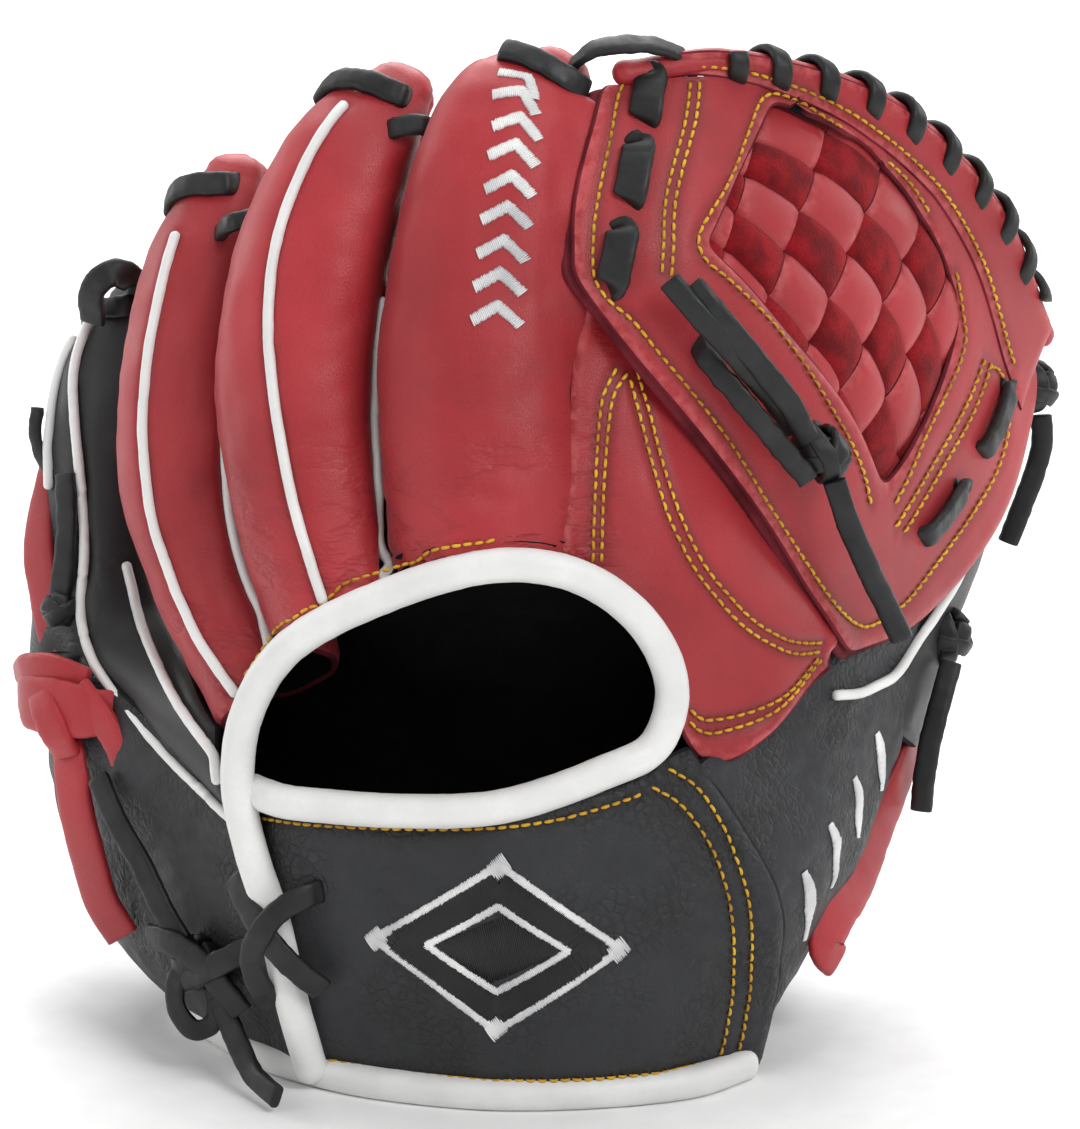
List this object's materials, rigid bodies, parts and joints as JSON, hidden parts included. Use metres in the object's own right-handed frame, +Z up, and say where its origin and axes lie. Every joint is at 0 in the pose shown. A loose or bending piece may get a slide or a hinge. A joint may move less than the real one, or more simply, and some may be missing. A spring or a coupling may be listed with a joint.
{
  "type": "baseball glove",
  "caption": "Fielder's baseball glove for the left hand, with separate finger stalls, a laced basket web, a rolled wrist opening, a wrist strap and a folding thumb side.",
  "frame": {"origin": "centre of the glove's footprint box, on the surface it stands on", "axes": "+Z up along the fingers, +Y from the back of the hand towards the pocket, +X from the little finger towards the thumb"},
  "size_m": [0.2552, 0.1455, 0.2373],
  "materials": {
    "red_leather": "smooth, semi-matte",
    "black_grained_leather": "pebbled, matte",
    "rawhide_lace": "matte, fuzzy edges",
    "white_leather": "smooth, soft sheen",
    "red_suede": "napped suede",
    "lining_leather": "soft, matte"
  },
  "bodies": {
    "hand": {"index_back": "red_leather", "index_front": "red_leather", "index_lining": "lining_leather", "index_tip_lace": "rawhide_lace", "middle_back": "red_leather", "middle_front": "red_leather", "middle_lining": "lining_leather", "middle_tip_lace": "rawhide_lace", "ring_back": "red_leather", "ring_front": "red_leather", "ring_lining": "lining_leather", "ring_tip_lace": "rawhide_lace", "pinky_back": "black_grained_leather", "pinky_front": "red_leather", "pinky_lining": "lining_leather", "pinky_tip_lace": "rawhide_lace", "palm_leather": "black_grained_leather", "pinky_heel_panel": "black_grained_leather", "wrist_strap": "black_grained_leather", "opening_binding": "white_leather", "heel_binding": "white_leather", "index_middle_welt": "white_leather", "middle_crest_welt": "white_leather", "ring_middle_welt": "white_leather", "ring_crest_welt": "white_leather", "pinky_crest_welt": "white_leather", "heel_knot": "rawhide_lace", "heel_tail_up": "rawhide_lace", "heel_tail_down": "rawhide_lace", "strap_cross_lace": "rawhide_lace", "pinky_loop_tie": "red_leather", "hand_lining": "lining_leather"},
    "thumb_side": {"thumb_back": "black_grained_leather", "thumb_front": "red_leather", "thumb_lining": "lining_leather", "thumb_heel_panel": "black_grained_leather", "thumb_palm_leather": "black_grained_leather", "thumb_crotch_panel": "red_leather", "web_frame": "red_leather", "web_inner_layer": "red_suede", "web_face_strip_1": "red_leather", "web_face_strip_2": "red_leather", "web_face_strip_3": "red_leather", "web_face_strip_4": "red_leather", "web_face_strip_5": "red_leather", "web_top_roll": "red_leather", "web_top_lace": "rawhide_lace", "web_index_lace": "rawhide_lace", "web_thumb_lace": "rawhide_lace", "web_knot": "rawhide_lace", "web_tail_long": "rawhide_lace", "web_tail_short": "rawhide_lace", "thumb_tip_knot": "rawhide_lace", "thumb_tip_tail": "rawhide_lace", "thumb_low_knot": "rawhide_lace", "thumb_low_tail": "rawhide_lace", "thumb_loop_tie": "red_leather"}
  },
  "joints": [
    {"name": "thumb_fold", "type": "hinge", "parent": "hand", "child": "thumb_side", "pos_m": [0.0256, 0.0059, 0], "axis": [0, 0, 1], "range_deg": [0, 20], "stiffness_Nm_per_rad": 0.25}
  ]
}
